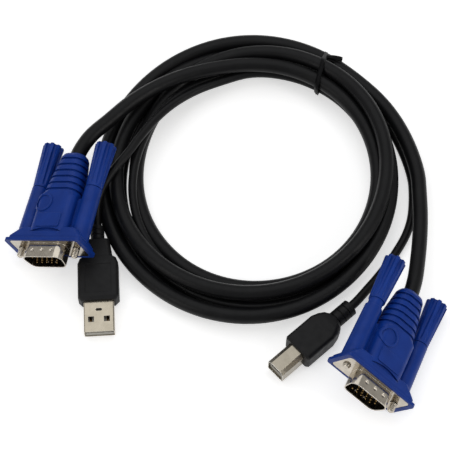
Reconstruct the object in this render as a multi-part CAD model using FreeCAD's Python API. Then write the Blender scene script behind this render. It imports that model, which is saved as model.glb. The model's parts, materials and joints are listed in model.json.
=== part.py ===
"""KVM cable: a twin video and USB lead, coiled and tied, with a D-sub plug and a USB plug at each end.

Millimetres. +Z is up, z = 0 is the table that the cable lies on, and the origin is the middle of the
plugs and the tie in plan. Each plug has a frame of its own: x across it, y from its mating face back
along the cord, z up out of its top.
"""
import FreeCAD
import Part
import math
import os

# Cords
VIDEO_DIAMETER = 6.2
USB_DIAMETER = 3.6
CORD_CLEARANCE = 0.05       # radial, a cord in the bore of its plug
CORD_SEAT = 4.0             # depth of a cord in its plug
VIDEO_LEAD_OUT = 3.4        # straight length of a cord beyond its plug
USB_LEAD_OUT = 5.0

# Coil: an oval ring with the bundle's outer section
COIL_CENTRE = (10.9, 25.5)
COIL_HALF_WIDTH = 53.8      # along x, to the middle of the bundle
COIL_HALF_LENGTH = 58.1     # along y
BUNDLE_WIDTH = 18.5
BUNDLE_HEIGHT = 12.0
BUNDLE_CORNER = 4.5

# Twist tie: a flat ribbon sunk into the bundle, with its two ends splayed on top
TIE_ANGLE = 53.4            # about the centre of the coil's far arc, degrees from +x
TIE_WIDTH = 2.4
TIE_THICKNESS = 0.8
TIE_CLEARANCE = 0.05
TIE_KNOT_RADIUS = 1.1
TIE_KNOT_HEIGHT = 1.2
TIE_KNOT_OFFSET = 4.0       # outwards from the middle of the bundle
TIE_END_LENGTHS = (9.5, 8.0)
TIE_END_ANGLES = (31.0, 14.0)

# D-sub connector: standard high-density 15-way plug
SCREW_SPACING = 24.99
PLATE_MARGIN = 2.91         # plate beyond the screws' axes
PLATE_WIDTH = SCREW_SPACING + 2 * PLATE_MARGIN
PLATE_HEIGHT = 12.55
PLATE_CORNER = 1.6
PLATE_THICKNESS = 0.5
PLATE_RECESS = 0.1          # plate's face behind the hood's rim
PLATE_HOLE_RADIUS = 1.55
SKIRT_INNER_WIDTH = 16.92
SKIRT_INNER_HEIGHT = 8.36
SKIRT_CORNER = 2.6
SKIRT_SLOPE = 10.0          # degrees, each short side
SKIRT_WALL = 0.45
SKIRT_LENGTH = 6.1          # in front of the plate
DIMPLE_RADIUS = 1.15
DIMPLE_DEPTH = 0.32
DIMPLE_PITCH = 4.3
DIMPLE_SETBACK = 3.1        # from the plate's face
DIMPLE_COUNT_ABOVE = 3
DIMPLE_COUNT_BELOW = 2
COLLAR_LENGTH = 4.2         # rear shell's collar behind its plate
INSULATOR_CLEARANCE = 0.05
INSULATOR_FRONT = 0.7       # its face in front of the plate
INSULATOR_BACK = 5.6        # its end behind the plate's face
PIN_RADIUS = 0.38
PIN_CLEARANCE = 0.02
PIN_PITCH = 2.29
PIN_ROW_PITCH = 1.98
PIN_ROW_COUNT = 3
PIN_COUNT_PER_ROW = 5
PIN_BELOW_RIM = 0.8         # pin tips behind the skirt's rim
PIN_TIP = 0.35

# Hood
RIM_BORDER_SIDE = 2.05      # rim beyond the plate at either end
RIM_BORDER_TOP = 1.025      # rim beyond the plate above and below
RIM_WIDTH = PLATE_WIDTH + 2 * RIM_BORDER_SIDE
RIM_HEIGHT = PLATE_HEIGHT + 2 * RIM_BORDER_TOP
RIM_CORNER = 1.6
RIM_THICKNESS = 1.3
RIM_STEP = 0.9              # base behind the rim is this much smaller all round
BASE_DEPTH = 2.8
SHOULDER_DEPTH = 6.6        # where the screw tubes part from the body
SHOULDER_MARGIN = 1.0       # shoulder beyond the screws' axes
SHOULDER_WIDTH = SCREW_SPACING + 2 * SHOULDER_MARGIN
SHOULDER_HEIGHT = 11.4
POCKET_CLEARANCE = 0.1
HOOD_LENGTH = 42.0
BODY_WIDTH = 16.6
BODY_HEIGHT = 12.6
BODY_CORNER = 2.8
BODY_END = 21.5             # where the body ends
GRIP_START = 23.2           # where the grip has its full roundness
NOSE_LENGTH = 1.2           # of the grip's rounded end
GRIP_END = HOOD_LENGTH - NOSE_LENGTH
GRIP_END_WIDTH = 11.4
GRIP_END_HEIGHT = 9.8
GRIP_BULGE = 0.4            # fullness of the grip half way
GRIP_CORNER = 5.2           # up to half way along the grip
GRIP_END_CORNER = 4.4
NOSE_STEP = 0.6             # rounding of the grip's end, all round
GROOVE_COUNT = 6
GROOVE_START = 24.1
GROOVE_MARGIN = 1.7         # from the last groove to the grip's end
GROOVE_PITCH = (GRIP_END - GROOVE_MARGIN - GROOVE_START) / (GROOVE_COUNT - 1)
GROOVE_WIDTH = 1.1
GROOVE_DEPTH = 0.8
WEB_THICKNESS = 4.0
RELIEF = 0.5                # height of the raised panel and ring
PANEL_WIDTH = 11.0
PANEL_START = 6.6
PANEL_END = 12.7
PANEL_CORNER = 1.0
CRESCENT_WIDTH = 14.6
CRESCENT_START = 4.6
CRESCENT_RISE = 1.6
CRESCENT_DEPTH = 1.0
RING_PLACE = (-4.6, 17.6)
RING_RADIUS = 4.0
RING_WIDTH = 0.8
TUBE_BASE_RADIUS = 3.9
TUBE_END_RADIUS = 3.5
TUBE_END = 27.0
TUBE_COUNTERBORE_DEPTH = 8.0

# Thumbscrews
THREAD_RADIUS = 1.42        # 4-40 UNC
THREAD_REACH = 3.9          # tip in front of the rim when home
THREAD_CHAMFER = 0.4
THREAD_LENGTH = 3.6
NECK_RADIUS = 1.15          # undercut that lets the screw turn freely when it is home
NECK_LENGTH = 5.0
SHANK_RADIUS = 1.6
SHANK_CLEARANCE = 0.4
SHANK_IN_KNOB = 10.0
KNOB_GAP = 0.4              # between tube and knob when home
KNOB_LENGTH = 20.3
KNOB_FRONT_RADIUS = 3.4
KNOB_BACK_RADIUS = 4.4
KNOB_CHAMFER = 0.5
SPIGOT_RADIUS = 2.9
SPIGOT_LENGTH = 6.0
SPIGOT_CLEARANCE = 0.15
FLUTE_COUNT = 8
FLUTE_RADIUS = 1.0
FLUTE_FRONT_DEPTH = 0.2
FLUTE_BACK_DEPTH = 1.4
FLUTE_START = 1.0           # behind the knob's front face

# USB type A plug
USB_A_WIDTH = 12.0
USB_A_HEIGHT = 4.5
USB_WALL = 0.3
USB_A_CORNER = 0.7
USB_A_EXPOSED = 13.1
USB_SHELL_SEAT = 5.0        # shell's length inside the overmoulding
USB_A_BOOT_WIDTH = 16.2
USB_A_BOOT_HEIGHT = 8.0
USB_A_BOOT_CORNER = 1.5
USB_A_BOOT_END = 29.6
USB_A_LIP = 1.6             # depth of the bevelled front edge
USB_A_LIP_WIDTH = 13.4
USB_A_LIP_HEIGHT = 7.0
USB_A_SHOULDER = 2.2        # depth of the rounded shoulder behind the body
USB_A_SHOULDER_WIDTH = 14.7
USB_A_SHOULDER_HEIGHT = 7.8
USB_A_NECK_START = 32.8
USB_A_NECK_WIDTH = 11.8
USB_A_NECK_HEIGHT = 7.5
USB_A_NECK_CORNER = 1.9
USB_A_NECK_END = 40.4
USB_A_NECK_END_WIDTH = 9.8
USB_A_NECK_END_HEIGHT = 6.4
USB_A_RELIEF_CORE = 2.4     # radius between the ribs of the strain relief
USB_A_RELIEF_RIB = 2.8
USB_A_END = 47.0
USB_A_WINDOW = 2.3
USB_A_WINDOW_SPREAD = 6.2
USB_A_WINDOW_SETBACK = 5.4
USB_A_SLOT_WIDTH = 2.5
USB_A_SLOT_HEIGHT = 1.1
USB_A_SLOT_SETBACK = 8.9
USB_A_TONGUE = 1.9
USB_A_TONGUE_SETBACK = 0.4
USB_A_PANEL_WIDTH = 10.4
USB_A_PANEL_DEPTH = 0.25
USB_A_PANEL_MARGIN = 1.6

# USB type B plug
USB_B_WIDTH = 8.0
USB_B_HEIGHT = 7.26
USB_B_BEVEL = 1.6
USB_B_CORNER = 0.3
USB_B_EXPOSED = 11.2
USB_B_BOOT_WIDTH = 13.0
USB_B_BOOT_HEIGHT = 9.8
USB_B_BOOT_CORNER = 1.6
USB_B_BOOT_END = 25.0
USB_B_LIP = 0.8             # depth of the bevelled front edge
USB_B_LIP_WIDTH = 11.8
USB_B_LIP_HEIGHT = 9.0
USB_B_SHOULDER = 3.0        # depths of the two steps of the rounded shoulder behind the body
USB_B_SHOULDER_WIDTH = 11.8
USB_B_SHOULDER_HEIGHT = 9.2
USB_B_SLOPE = 5.2
USB_B_SLOPE_WIDTH = 9.6
USB_B_SLOPE_HEIGHT = 8.2
USB_B_SLOPE_CORNER = 2.4
USB_B_NECK = 31.6
USB_B_NECK_WIDTH = 7.2
USB_B_NECK_CORNER = 3.4
USB_B_RELIEF_CORE = 2.9     # radius between the ribs of the strain relief
USB_B_RELIEF_RIB = 3.4
USB_B_END = 40.2
USB_B_MOUTH_WIDTH = 5.7
USB_B_MOUTH_HEIGHT = 3.3
USB_B_MOUTH_DEPTH = 8.6
USB_B_SETBACK = 0.9

# Both USB plugs
USB_CONTACT_WIDTH = 1.0
USB_CONTACT_THICKNESS = 0.2
USB_CONTACT_LENGTH = 7.0
USB_CONTACT_PITCH = 2.25
USB_FIT = 0.05
USB_CONTACT_SETBACK = 1.0   # contacts behind the insulator's face
RELIEF_RIB_COUNT = 3
RELIEF_GROOVE = 0.5

# Places: position of the plug's frame, then yaw, pitch and roll in degrees
LEFT_VGA_PLACE = ((-69.5, -14.0, 12.86), (-12.1, 1.6, -22.1))
RIGHT_VGA_PLACE = ((54.55, -72.45, 15.26), (-24.9, -4.65, 34.0))
USB_A_PLACE = ((-48.8, -46.8, 4.0), (3.6, 0.0, 0.0))
USB_B_PLACE = ((19.4, -62.8, 4.9), (-48.0, 0.0, 0.0))

# How far each thumbscrew is drawn back from home: screw at -x, screw at +x
LEFT_VGA_DRAWN = (0.0, 0.0)
RIGHT_VGA_DRAWN = (2.9, 0.0)

# Routes of the tails, from beyond the lead-out to the coil
LEFT_VIDEO_ROUTE = [
    (-57.75, 36.4, 14.5),
    (-54.4, 42.1, 14.7),
    (-49.9, 47.4, 14.8),
    (-43.6, 53.1, 14.7),
    (-35.6, 58.6, 14.3),
    (-26.4, 64.2, 13.6),
    (-16.0, 69.4, 12.4),
    (-4.6, 73.6, 10.6),
    (7.9, 77.0, 8.4),
]
USB_A_ROUTE = [
    (-51.2, 13.4, 6.2),
    (-48.1, 21.8, 8.4),
    (-42.9, 30.8, 10.4),
    (-36.0, 40.4, 11.4),
    (-27.6, 50.0, 11.7),
    (-17.6, 59.1, 11.4),
    (-5.6, 66.7, 10.5),
    (7.8, 71.5, 9.2),
    (20.9, 75.1, 8.0),
]
RIGHT_VIDEO_ROUTE = [
    (75.3, -25.6, 10.6),
    (77.2, -17.0, 9.4),
    (78.9, -6.6, 8.2),
    (79.8, 5.0, 7.5),
    (79.6, 17.4, 7.2),
    (77.9, 29.8, 7.2),
    (74.3, 41.8, 7.2),
    (68.7, 53.0, 7.2),
    (61.1, 62.8, 7.1),
    (51.5, 70.2, 6.9),
]
USB_B_ROUTE = [
    (58.9, -24.9, 3.6),
    (64.9, -16.9, 2.3),
    (70.5, -8.6, 1.95),
    (75.3, 0.6, 1.9),
    (78.2, 11.1, 1.9),
    (78.6, 22.1, 1.9),
    (76.9, 33.1, 1.9),
    (73.2, 43.8, 1.9),
    (67.4, 53.5, 2.0),
    (59.6, 61.4, 2.4),
]

ARC_SHARE = 0.45            # share of the shorter run that each arc of a cord takes


def rounded_polygon(corners, radius, y=0.0):
    """Wire through corners (x, z) in the plane at y, with every corner rounded."""
    count = len(corners)
    starts, ends, middles = [], [], []
    for i in range(count):
        here = FreeCAD.Vector(corners[i][0], y, corners[i][1])
        before = FreeCAD.Vector(corners[i - 1][0], y, corners[i - 1][1]) - here
        after = FreeCAD.Vector(corners[(i + 1) % count][0], y, corners[(i + 1) % count][1]) - here
        before.normalize()
        after.normalize()
        half = before.getAngle(after) / 2
        setback = radius / math.tan(half)
        towards = (before + after).normalize()
        starts.append(here + before * setback)
        ends.append(here + after * setback)
        middles.append(here + towards * (radius / math.sin(half) - radius))
    edges = []
    for i in range(count):
        edges.append(Part.Arc(starts[i], middles[i], ends[i]).toShape())
        edges.append(Part.LineSegment(ends[i], starts[(i + 1) % count]).toShape())
    return Part.Wire(edges)


def rounded_box_wire(width, height, radius, y=0.0, middle_z=0.0):
    """Rounded rectangle across the y axis."""
    low = middle_z - height / 2
    high = middle_z + height / 2
    corners = [(-width / 2, low), (width / 2, low), (width / 2, high), (-width / 2, high)]
    return rounded_polygon(corners, radius, y)


def d_wire(grow, y=0.0):
    """The D outline of the skirt's inside, grown by a parallel offset, wide side up."""
    slope = math.radians(SKIRT_SLOPE)
    radius = SKIRT_CORNER + grow
    half_width = SKIRT_INNER_WIDTH / 2 + grow
    half_height = SKIRT_INNER_HEIGHT / 2 + grow
    reach = (math.cos(slope) * (half_width - radius)
             - math.sin(slope) * (half_height - radius) + radius)
    top = (reach + math.sin(slope) * half_height) / math.cos(slope)
    bottom = (reach - math.sin(slope) * half_height) / math.cos(slope)
    corners = [(-bottom, -half_height), (bottom, -half_height), (top, half_height), (-top, half_height)]
    return rounded_polygon(corners, radius, y)


def prism(wire, length):
    """Solid from a wire across the y axis, running back by length."""
    return Part.Face(wire).extrude(FreeCAD.Vector(0, length, 0))


def rod(radius, start, end, x=0.0, z=0.0, end_radius=None):
    """Cylinder or cone along y."""
    base = FreeCAD.Vector(x, start, z)
    along = FreeCAD.Vector(0, 1, 0)
    if end_radius is None:
        return Part.makeCylinder(radius, end - start, base, along)
    return Part.makeCone(radius, end_radius, end - start, base, along)


def block(low, high):
    """Box between two corners."""
    size = [b - a for a, b in zip(low, high)]
    return Part.makeBox(size[0], size[1], size[2], FreeCAD.Vector(*low))


def sections(rows, ruled):
    """Solid through rounded rectangles, each row y, width, height, corner radius."""
    wires = [rounded_box_wire(width, height, radius, y) for y, width, height, radius in rows]
    return Part.makeLoft(wires, True, ruled)


def placement(place):
    """Placement of a plug's frame: yaw about z, then pitch about x, then roll about y."""
    position, (yaw, pitch, roll) = place
    turn = FreeCAD.Rotation(FreeCAD.Vector(0, 0, 1), yaw)
    turn = turn.multiply(FreeCAD.Rotation(FreeCAD.Vector(1, 0, 0), pitch))
    turn = turn.multiply(FreeCAD.Rotation(FreeCAD.Vector(0, 1, 0), roll))
    return FreeCAD.Placement(FreeCAD.Vector(*position), turn)


def plug_point(place, y):
    """Point on a plug's own axis."""
    return placement(place).multVec(FreeCAD.Vector(0, y, 0))


# D-sub plug

def front_shell():
    """Plated plate with two screw holes and the dimpled D skirt."""
    face = PLATE_RECESS
    plate = prism(rounded_box_wire(PLATE_WIDTH, PLATE_HEIGHT, PLATE_CORNER, face), PLATE_THICKNESS)
    for side in (-1, 1):
        plate = plate.cut(rod(PLATE_HOLE_RADIUS, face - 1, face + 1, side * SCREW_SPACING / 2))
    front = face - SKIRT_LENGTH
    outside = prism(d_wire(SKIRT_WALL, front), SKIRT_LENGTH + PLATE_THICKNESS)
    inside = prism(d_wire(0, front - 1), SKIRT_LENGTH + PLATE_THICKNESS + 2)
    shell = plate.fuse(outside).cut(inside)
    for up, count in ((1, DIMPLE_COUNT_ABOVE), (-1, DIMPLE_COUNT_BELOW)):
        for i in range(count):
            x = (i - (count - 1) / 2) * DIMPLE_PITCH
            z = up * (SKIRT_INNER_HEIGHT / 2 + SKIRT_WALL + DIMPLE_RADIUS - DIMPLE_DEPTH)
            centre = FreeCAD.Vector(x, face - DIMPLE_SETBACK, z)
            bulge = Part.makeSphere(DIMPLE_RADIUS + SKIRT_WALL, centre).common(outside)
            shell = shell.fuse(bulge).cut(Part.makeSphere(DIMPLE_RADIUS, centre))
    return shell.removeSplitter()


def rear_shell():
    """Plate and collar behind the front shell, clamping the insulator."""
    start = PLATE_RECESS + PLATE_THICKNESS
    plate = prism(rounded_box_wire(PLATE_WIDTH, PLATE_HEIGHT, PLATE_CORNER, start), PLATE_THICKNESS)
    for side in (-1, 1):
        plate = plate.cut(rod(PLATE_HOLE_RADIUS, start - 1, start + 1, side * SCREW_SPACING / 2))
    collar = prism(d_wire(SKIRT_WALL, start), COLLAR_LENGTH)
    return plate.fuse(collar).cut(prism(d_wire(0, start - 1), COLLAR_LENGTH + 2)).removeSplitter()


def pin_places():
    """Centres (x, z) of the contacts, the middle row half a pitch across."""
    places = []
    for row in range(PIN_ROW_COUNT):
        shift = PIN_PITCH / 4 if row % 2 else -PIN_PITCH / 4
        z = ((PIN_ROW_COUNT - 1) / 2 - row) * PIN_ROW_PITCH
        for i in range(PIN_COUNT_PER_ROW):
            places.append(((i - (PIN_COUNT_PER_ROW - 1) / 2) * PIN_PITCH + shift, z))
    return places


def insulator():
    """Block that carries the contacts through both shells."""
    front = PLATE_RECESS - INSULATOR_FRONT
    length = INSULATOR_FRONT + INSULATOR_BACK
    body = prism(d_wire(-INSULATOR_CLEARANCE, front), length)
    holes = [rod(PIN_RADIUS + PIN_CLEARANCE, front - 1, front + length + 1, x, z) for x, z in pin_places()]
    return body.cut(Part.makeCompound(holes))


def contact_pins():
    """Round contacts with tapered tips."""
    tip = PLATE_RECESS - SKIRT_LENGTH + PIN_BELOW_RIM
    end = PLATE_RECESS + INSULATOR_BACK
    pins = []
    for x, z in pin_places():
        point = rod(PIN_RADIUS / 2, tip, tip + PIN_TIP, x, z, PIN_RADIUS)
        pins.append(point.fuse(rod(PIN_RADIUS, tip + PIN_TIP, end, x, z)).removeSplitter())
    return Part.makeCompound(pins)


def hood_body(grow):
    """Body and grip of the hood, grown all round."""
    middle = (GRIP_START + GRIP_END) / 2
    rows = [
        (BASE_DEPTH / 2, BODY_WIDTH, BODY_HEIGHT, BODY_CORNER),
        (BODY_END, BODY_WIDTH, BODY_HEIGHT, BODY_CORNER),
        (GRIP_START, BODY_WIDTH, BODY_HEIGHT, GRIP_CORNER),
        (middle, (BODY_WIDTH + GRIP_END_WIDTH) / 2 + GRIP_BULGE,
         (BODY_HEIGHT + GRIP_END_HEIGHT) / 2 + GRIP_BULGE, GRIP_CORNER),
        (GRIP_END, GRIP_END_WIDTH, GRIP_END_HEIGHT, GRIP_END_CORNER),
        (HOOD_LENGTH, GRIP_END_WIDTH - 2 * NOSE_STEP, GRIP_END_HEIGHT - 2 * NOSE_STEP,
         GRIP_END_CORNER - NOSE_STEP),
    ]
    return sections([(y, w + 2 * grow, h + 2 * grow, r + grow) for y, w, h, r in rows], True)


def hood_relief():
    """Raised panel on both faces and the plain raised ring on the top, standing proud of the body."""
    skin = hood_body(RELIEF)
    reach = BODY_HEIGHT
    half = PANEL_WIDTH / 2
    corners = [(-half, PANEL_START), (half, PANEL_START), (half, PANEL_END), (-half, PANEL_END)]
    panel = rounded_polygon(corners, PANEL_CORNER)
    panel.rotate(FreeCAD.Vector(0, 0, 0), FreeCAD.Vector(1, 0, 0), -90)
    column = Part.Face(panel).extrude(FreeCAD.Vector(0, 0, 2 * reach))
    column.translate(FreeCAD.Vector(0, 0, -reach))
    ring_base = FreeCAD.Vector(RING_PLACE[0], RING_PLACE[1], 0)
    ring = Part.makeCylinder(RING_RADIUS, reach, ring_base)
    ring = ring.cut(Part.makeCylinder(RING_RADIUS - RING_WIDTH, reach, ring_base))
    return skin.common(column.fuse(ring))


def hood():
    """Blue moulding: rim, base, shoulders, body with ribbed grip, and the two screw tubes."""
    rim = prism(rounded_box_wire(RIM_WIDTH, RIM_HEIGHT, RIM_CORNER), RIM_THICKNESS)
    base_width = RIM_WIDTH - 2 * RIM_STEP
    base_height = RIM_HEIGHT - 2 * RIM_STEP
    base = sections([
        (RIM_THICKNESS, base_width, base_height, RIM_CORNER),
        (BASE_DEPTH, base_width, base_height, RIM_CORNER),
        (SHOULDER_DEPTH, SHOULDER_WIDTH, SHOULDER_HEIGHT, BODY_CORNER),
    ], True)
    body = hood_body(0)
    grooves = []
    for i in range(GROOVE_COUNT):
        y = GROOVE_START + i * GROOVE_PITCH
        grooves.append(block((-BODY_WIDTH / 2 - 0.2, y - GROOVE_WIDTH / 2, -BODY_HEIGHT),
                             (BODY_WIDTH / 2 + 0.2, y + GROOVE_WIDTH / 2, BODY_HEIGHT)))
    body = body.cut(Part.makeCompound(grooves).cut(hood_body(-GROOVE_DEPTH)))
    web = block((-SCREW_SPACING / 2, BASE_DEPTH, -WEB_THICKNESS / 2),
                (SCREW_SPACING / 2, BODY_END, WEB_THICKNESS / 2))
    tubes = [rod(TUBE_BASE_RADIUS, RIM_THICKNESS, TUBE_END, side * SCREW_SPACING / 2, 0, TUBE_END_RADIUS)
             for side in (-1, 1)]
    solid = rim.multiFuse([base, body, web, hood_relief()] + tubes)
    return solid.cut(Part.makeCompound(hood_cuts())).removeSplitter()


def hood_cuts():
    """What is taken out of the hood: connector pocket, screw bores, cord bore and thumb recesses."""
    plates = PLATE_RECESS + 2 * PLATE_THICKNESS
    cuts = [
        prism(rounded_box_wire(PLATE_WIDTH + 2 * POCKET_CLEARANCE, PLATE_HEIGHT + 2 * POCKET_CLEARANCE,
                               PLATE_CORNER, -1), plates + 1),
        prism(d_wire(SKIRT_WALL + POCKET_CLEARANCE, plates), PLATE_RECESS + INSULATOR_BACK - plates),
        rod(VIDEO_DIAMETER / 2 + CORD_CLEARANCE, HOOD_LENGTH - CORD_SEAT, HOOD_LENGTH + 1),
    ]
    for side in (-1, 1):
        x = side * SCREW_SPACING / 2
        cuts.append(rod(SHANK_RADIUS + SHANK_CLEARANCE, 0, TUBE_END + 1, x))
        counterbore = SPIGOT_RADIUS + SPIGOT_CLEARANCE
        cuts.append(rod(counterbore, TUBE_END - TUBE_COUNTERBORE_DEPTH, TUBE_END + 1, x))
    radius = ((CRESCENT_WIDTH / 2) ** 2 + CRESCENT_RISE ** 2) / (2 * CRESCENT_RISE)
    for side in (-1, 1):
        top = side * (BODY_HEIGHT / 2 - CRESCENT_DEPTH)
        centre = FreeCAD.Vector(0, CRESCENT_START + CRESCENT_RISE - radius, top)
        disc = Part.makeCylinder(radius, BODY_HEIGHT, centre, FreeCAD.Vector(0, 0, side))
        keep = block((-radius, CRESCENT_START, -2 * BODY_HEIGHT), (radius, 2 * radius, 2 * BODY_HEIGHT))
        cuts.append(disc.common(keep))
    return cuts


def jackscrew(side, drawn):
    """Plated screw: chamfered thread, undercut neck, then the shank that ends in the knob."""
    x = side * SCREW_SPACING / 2
    tip = drawn - THREAD_REACH
    neck_start = tip + THREAD_LENGTH
    shank_start = neck_start + NECK_LENGTH
    end = TUBE_END + KNOB_GAP + drawn + SHANK_IN_KNOB
    point = rod(THREAD_RADIUS - THREAD_CHAMFER, tip, tip + THREAD_CHAMFER, x, 0, THREAD_RADIUS)
    thread = rod(THREAD_RADIUS, tip + THREAD_CHAMFER, neck_start, x)
    neck = rod(NECK_RADIUS, neck_start, shank_start, x)
    shank = rod(SHANK_RADIUS, shank_start, end, x)
    return point.multiFuse([thread, neck, shank]).removeSplitter()


def thumb_knob(side, drawn):
    """Fluted tapered knob with a spigot that runs in the hood's tube."""
    x = side * SCREW_SPACING / 2
    front = TUBE_END + KNOB_GAP + drawn
    back = front + KNOB_LENGTH
    grip = rod(KNOB_FRONT_RADIUS, front, back - KNOB_CHAMFER, x, 0, KNOB_BACK_RADIUS)
    cap = rod(KNOB_BACK_RADIUS, back - KNOB_CHAMFER, back, x, 0, KNOB_BACK_RADIUS - KNOB_CHAMFER)
    spigot = rod(SPIGOT_RADIUS, front - SPIGOT_LENGTH, front, x)
    flutes = []
    for i in range(FLUTE_COUNT):
        turn = 2 * math.pi * i / FLUTE_COUNT
        near = KNOB_FRONT_RADIUS + FLUTE_RADIUS - FLUTE_FRONT_DEPTH
        far = KNOB_BACK_RADIUS + FLUTE_RADIUS - FLUTE_BACK_DEPTH
        start = FreeCAD.Vector(x + near * math.cos(turn), front + FLUTE_START, near * math.sin(turn))
        end = FreeCAD.Vector(x + far * math.cos(turn), back + 1, far * math.sin(turn))
        flutes.append(Part.makeCylinder(FLUTE_RADIUS, (end - start).Length, start, end - start))
    knob = grip.multiFuse([cap, spigot]).cut(Part.makeCompound(flutes))
    bore = rod(SHANK_RADIUS + PIN_CLEARANCE, front - SPIGOT_LENGTH - 1, front + SHANK_IN_KNOB, x)
    return knob.cut(bore).removeSplitter()


# USB plugs

def strain_relief(start, end, core, rib):
    """Ribbed sleeve round the thin cord."""
    pitch = (end - start) / RELIEF_RIB_COUNT
    pieces = [rod(core, start - 1, end)]
    for i in range(RELIEF_RIB_COUNT):
        pieces.append(rod(rib, start + i * pitch + RELIEF_GROOVE, start + (i + 1) * pitch))
    return pieces


def cord_bore(end):
    """Bore for the thin cord in the end of an overmoulding."""
    return rod(USB_DIAMETER / 2 + CORD_CLEARANCE, end - CORD_SEAT, end + 1)


def usb_a_wire(shrink, y):
    """Outline of the A shell, shrunk all round."""
    return rounded_box_wire(USB_A_WIDTH - 2 * shrink, USB_A_HEIGHT - 2 * shrink, USB_A_CORNER - shrink, y)


def usb_a_boot():
    """Black overmoulding with a recessed panel on both faces and a tapering ribbed neck."""
    width = USB_A_BOOT_WIDTH
    height = USB_A_BOOT_HEIGHT
    start = USB_A_EXPOSED
    body = sections([
        (start, USB_A_LIP_WIDTH, USB_A_LIP_HEIGHT, USB_A_BOOT_CORNER),
        (start + USB_A_LIP, width, height, USB_A_BOOT_CORNER),
        (USB_A_BOOT_END, width, height, USB_A_BOOT_CORNER),
        (USB_A_BOOT_END + USB_A_SHOULDER, USB_A_SHOULDER_WIDTH, USB_A_SHOULDER_HEIGHT, USB_A_NECK_CORNER),
        (USB_A_NECK_START, USB_A_NECK_WIDTH, USB_A_NECK_HEIGHT, USB_A_NECK_CORNER),
        (USB_A_NECK_END, USB_A_NECK_END_WIDTH, USB_A_NECK_END_HEIGHT, USB_A_NECK_CORNER),
    ], True)
    boot = body.multiFuse(strain_relief(USB_A_NECK_END, USB_A_END, USB_A_RELIEF_CORE, USB_A_RELIEF_RIB))
    half = USB_A_PANEL_WIDTH / 2
    for low, high in ((height / 2 - USB_A_PANEL_DEPTH, height), (-height, USB_A_PANEL_DEPTH - height / 2)):
        boot = boot.cut(block((-half, start + USB_A_LIP + USB_A_PANEL_MARGIN, low),
                              (half, USB_A_BOOT_END - USB_A_PANEL_MARGIN / 2, high)))
    seat = prism(usb_a_wire(-USB_FIT, start - 1), USB_SHELL_SEAT + 1)
    return boot.cut(seat).cut(cord_bore(USB_A_END)).removeSplitter()


def usb_a_shell():
    """Folded plated tube with two square windows and a stamped slot in each broad face."""
    length = USB_A_EXPOSED + USB_SHELL_SEAT
    shell = prism(usb_a_wire(0, 0), length).cut(prism(usb_a_wire(USB_WALL, -1), length + 2))
    half = USB_A_WINDOW / 2
    for side in (-1, 1):
        x = side * USB_A_WINDOW_SPREAD / 2
        shell = shell.cut(block((x - half, USB_A_WINDOW_SETBACK - half, -USB_A_HEIGHT),
                                (x + half, USB_A_WINDOW_SETBACK + half, USB_A_HEIGHT)))
    radius = USB_A_SLOT_HEIGHT / 2
    across = USB_A_SLOT_WIDTH / 2 - radius
    back = USB_A_SLOT_SETBACK + USB_A_SLOT_HEIGHT
    slot = block((-across, USB_A_SLOT_SETBACK, 0), (across, back, USB_A_HEIGHT))
    for x in (-across, across):
        end = Part.makeCylinder(radius, USB_A_HEIGHT, FreeCAD.Vector(x, USB_A_SLOT_SETBACK + radius, 0))
        slot = slot.fuse(end)
    return shell.cut(slot)


def usb_a_tongue():
    """Insulator: the tongue along the shell's floor and the block that closes its back."""
    low = -USB_A_HEIGHT / 2 + USB_WALL + USB_FIT
    back = USB_A_EXPOSED + USB_SHELL_SEAT
    fill = prism(usb_a_wire(USB_WALL + USB_FIT, USB_A_TONGUE_SETBACK), back - USB_A_TONGUE_SETBACK)
    above = block((-USB_A_WIDTH, -1, low + USB_A_TONGUE), (USB_A_WIDTH, USB_A_EXPOSED, USB_A_HEIGHT))
    return fill.cut(above)


def contact_strips(offsets, low_z, start):
    """Flat contacts, one solid each, with their lower faces at low_z."""
    strips = []
    half = USB_CONTACT_WIDTH / 2
    end = start + USB_CONTACT_LENGTH
    top = low_z + USB_CONTACT_THICKNESS
    for x in offsets:
        strips.append(block((x - half, start, low_z), (x + half, end, top)))
    return strips


def usb_a_contacts():
    """Four strips on the tongue."""
    top = -USB_A_HEIGHT / 2 + USB_WALL + USB_FIT + USB_A_TONGUE
    offsets = [(i - 1.5) * USB_CONTACT_PITCH for i in range(4)]
    return Part.makeCompound(contact_strips(offsets, top, USB_A_TONGUE_SETBACK + USB_CONTACT_SETBACK))


def usb_b_wire(shrink, y):
    """Outline of the B shell, with its two upper corners bevelled."""
    w = USB_B_WIDTH / 2 - shrink
    h = USB_B_HEIGHT / 2 - shrink
    bevel = USB_B_BEVEL - shrink * (2 - math.sqrt(2))
    points = [(-w, -h), (w, -h), (w, h - bevel), (w - bevel, h), (bevel - w, h), (-w, h - bevel)]
    return rounded_polygon(points, USB_B_CORNER, y)


def usb_b_shell():
    """Plated tube."""
    length = USB_B_EXPOSED + USB_SHELL_SEAT
    return prism(usb_b_wire(0, 0), length).cut(prism(usb_b_wire(USB_WALL, -1), length + 2))


def usb_b_insulator():
    """Pale block inside the shell, with a square mouth."""
    length = USB_B_EXPOSED + USB_SHELL_SEAT - USB_B_SETBACK
    body = prism(usb_b_wire(USB_WALL + USB_FIT, USB_B_SETBACK), length)
    across = USB_B_MOUTH_WIDTH / 2
    up = USB_B_MOUTH_HEIGHT / 2
    return body.cut(block((-across, -1, -up), (across, USB_B_SETBACK + USB_B_MOUTH_DEPTH, up)))


def usb_b_contacts():
    """Two strips on the mouth's floor and two on its ceiling."""
    half = USB_B_MOUTH_HEIGHT / 2
    offsets = (-USB_CONTACT_PITCH / 2, USB_CONTACT_PITCH / 2)
    start = USB_B_SETBACK + USB_CONTACT_SETBACK
    floor = contact_strips(offsets, -half, start)
    ceiling = contact_strips(offsets, half - USB_CONTACT_THICKNESS, start)
    return Part.makeCompound(floor + ceiling)


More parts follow.
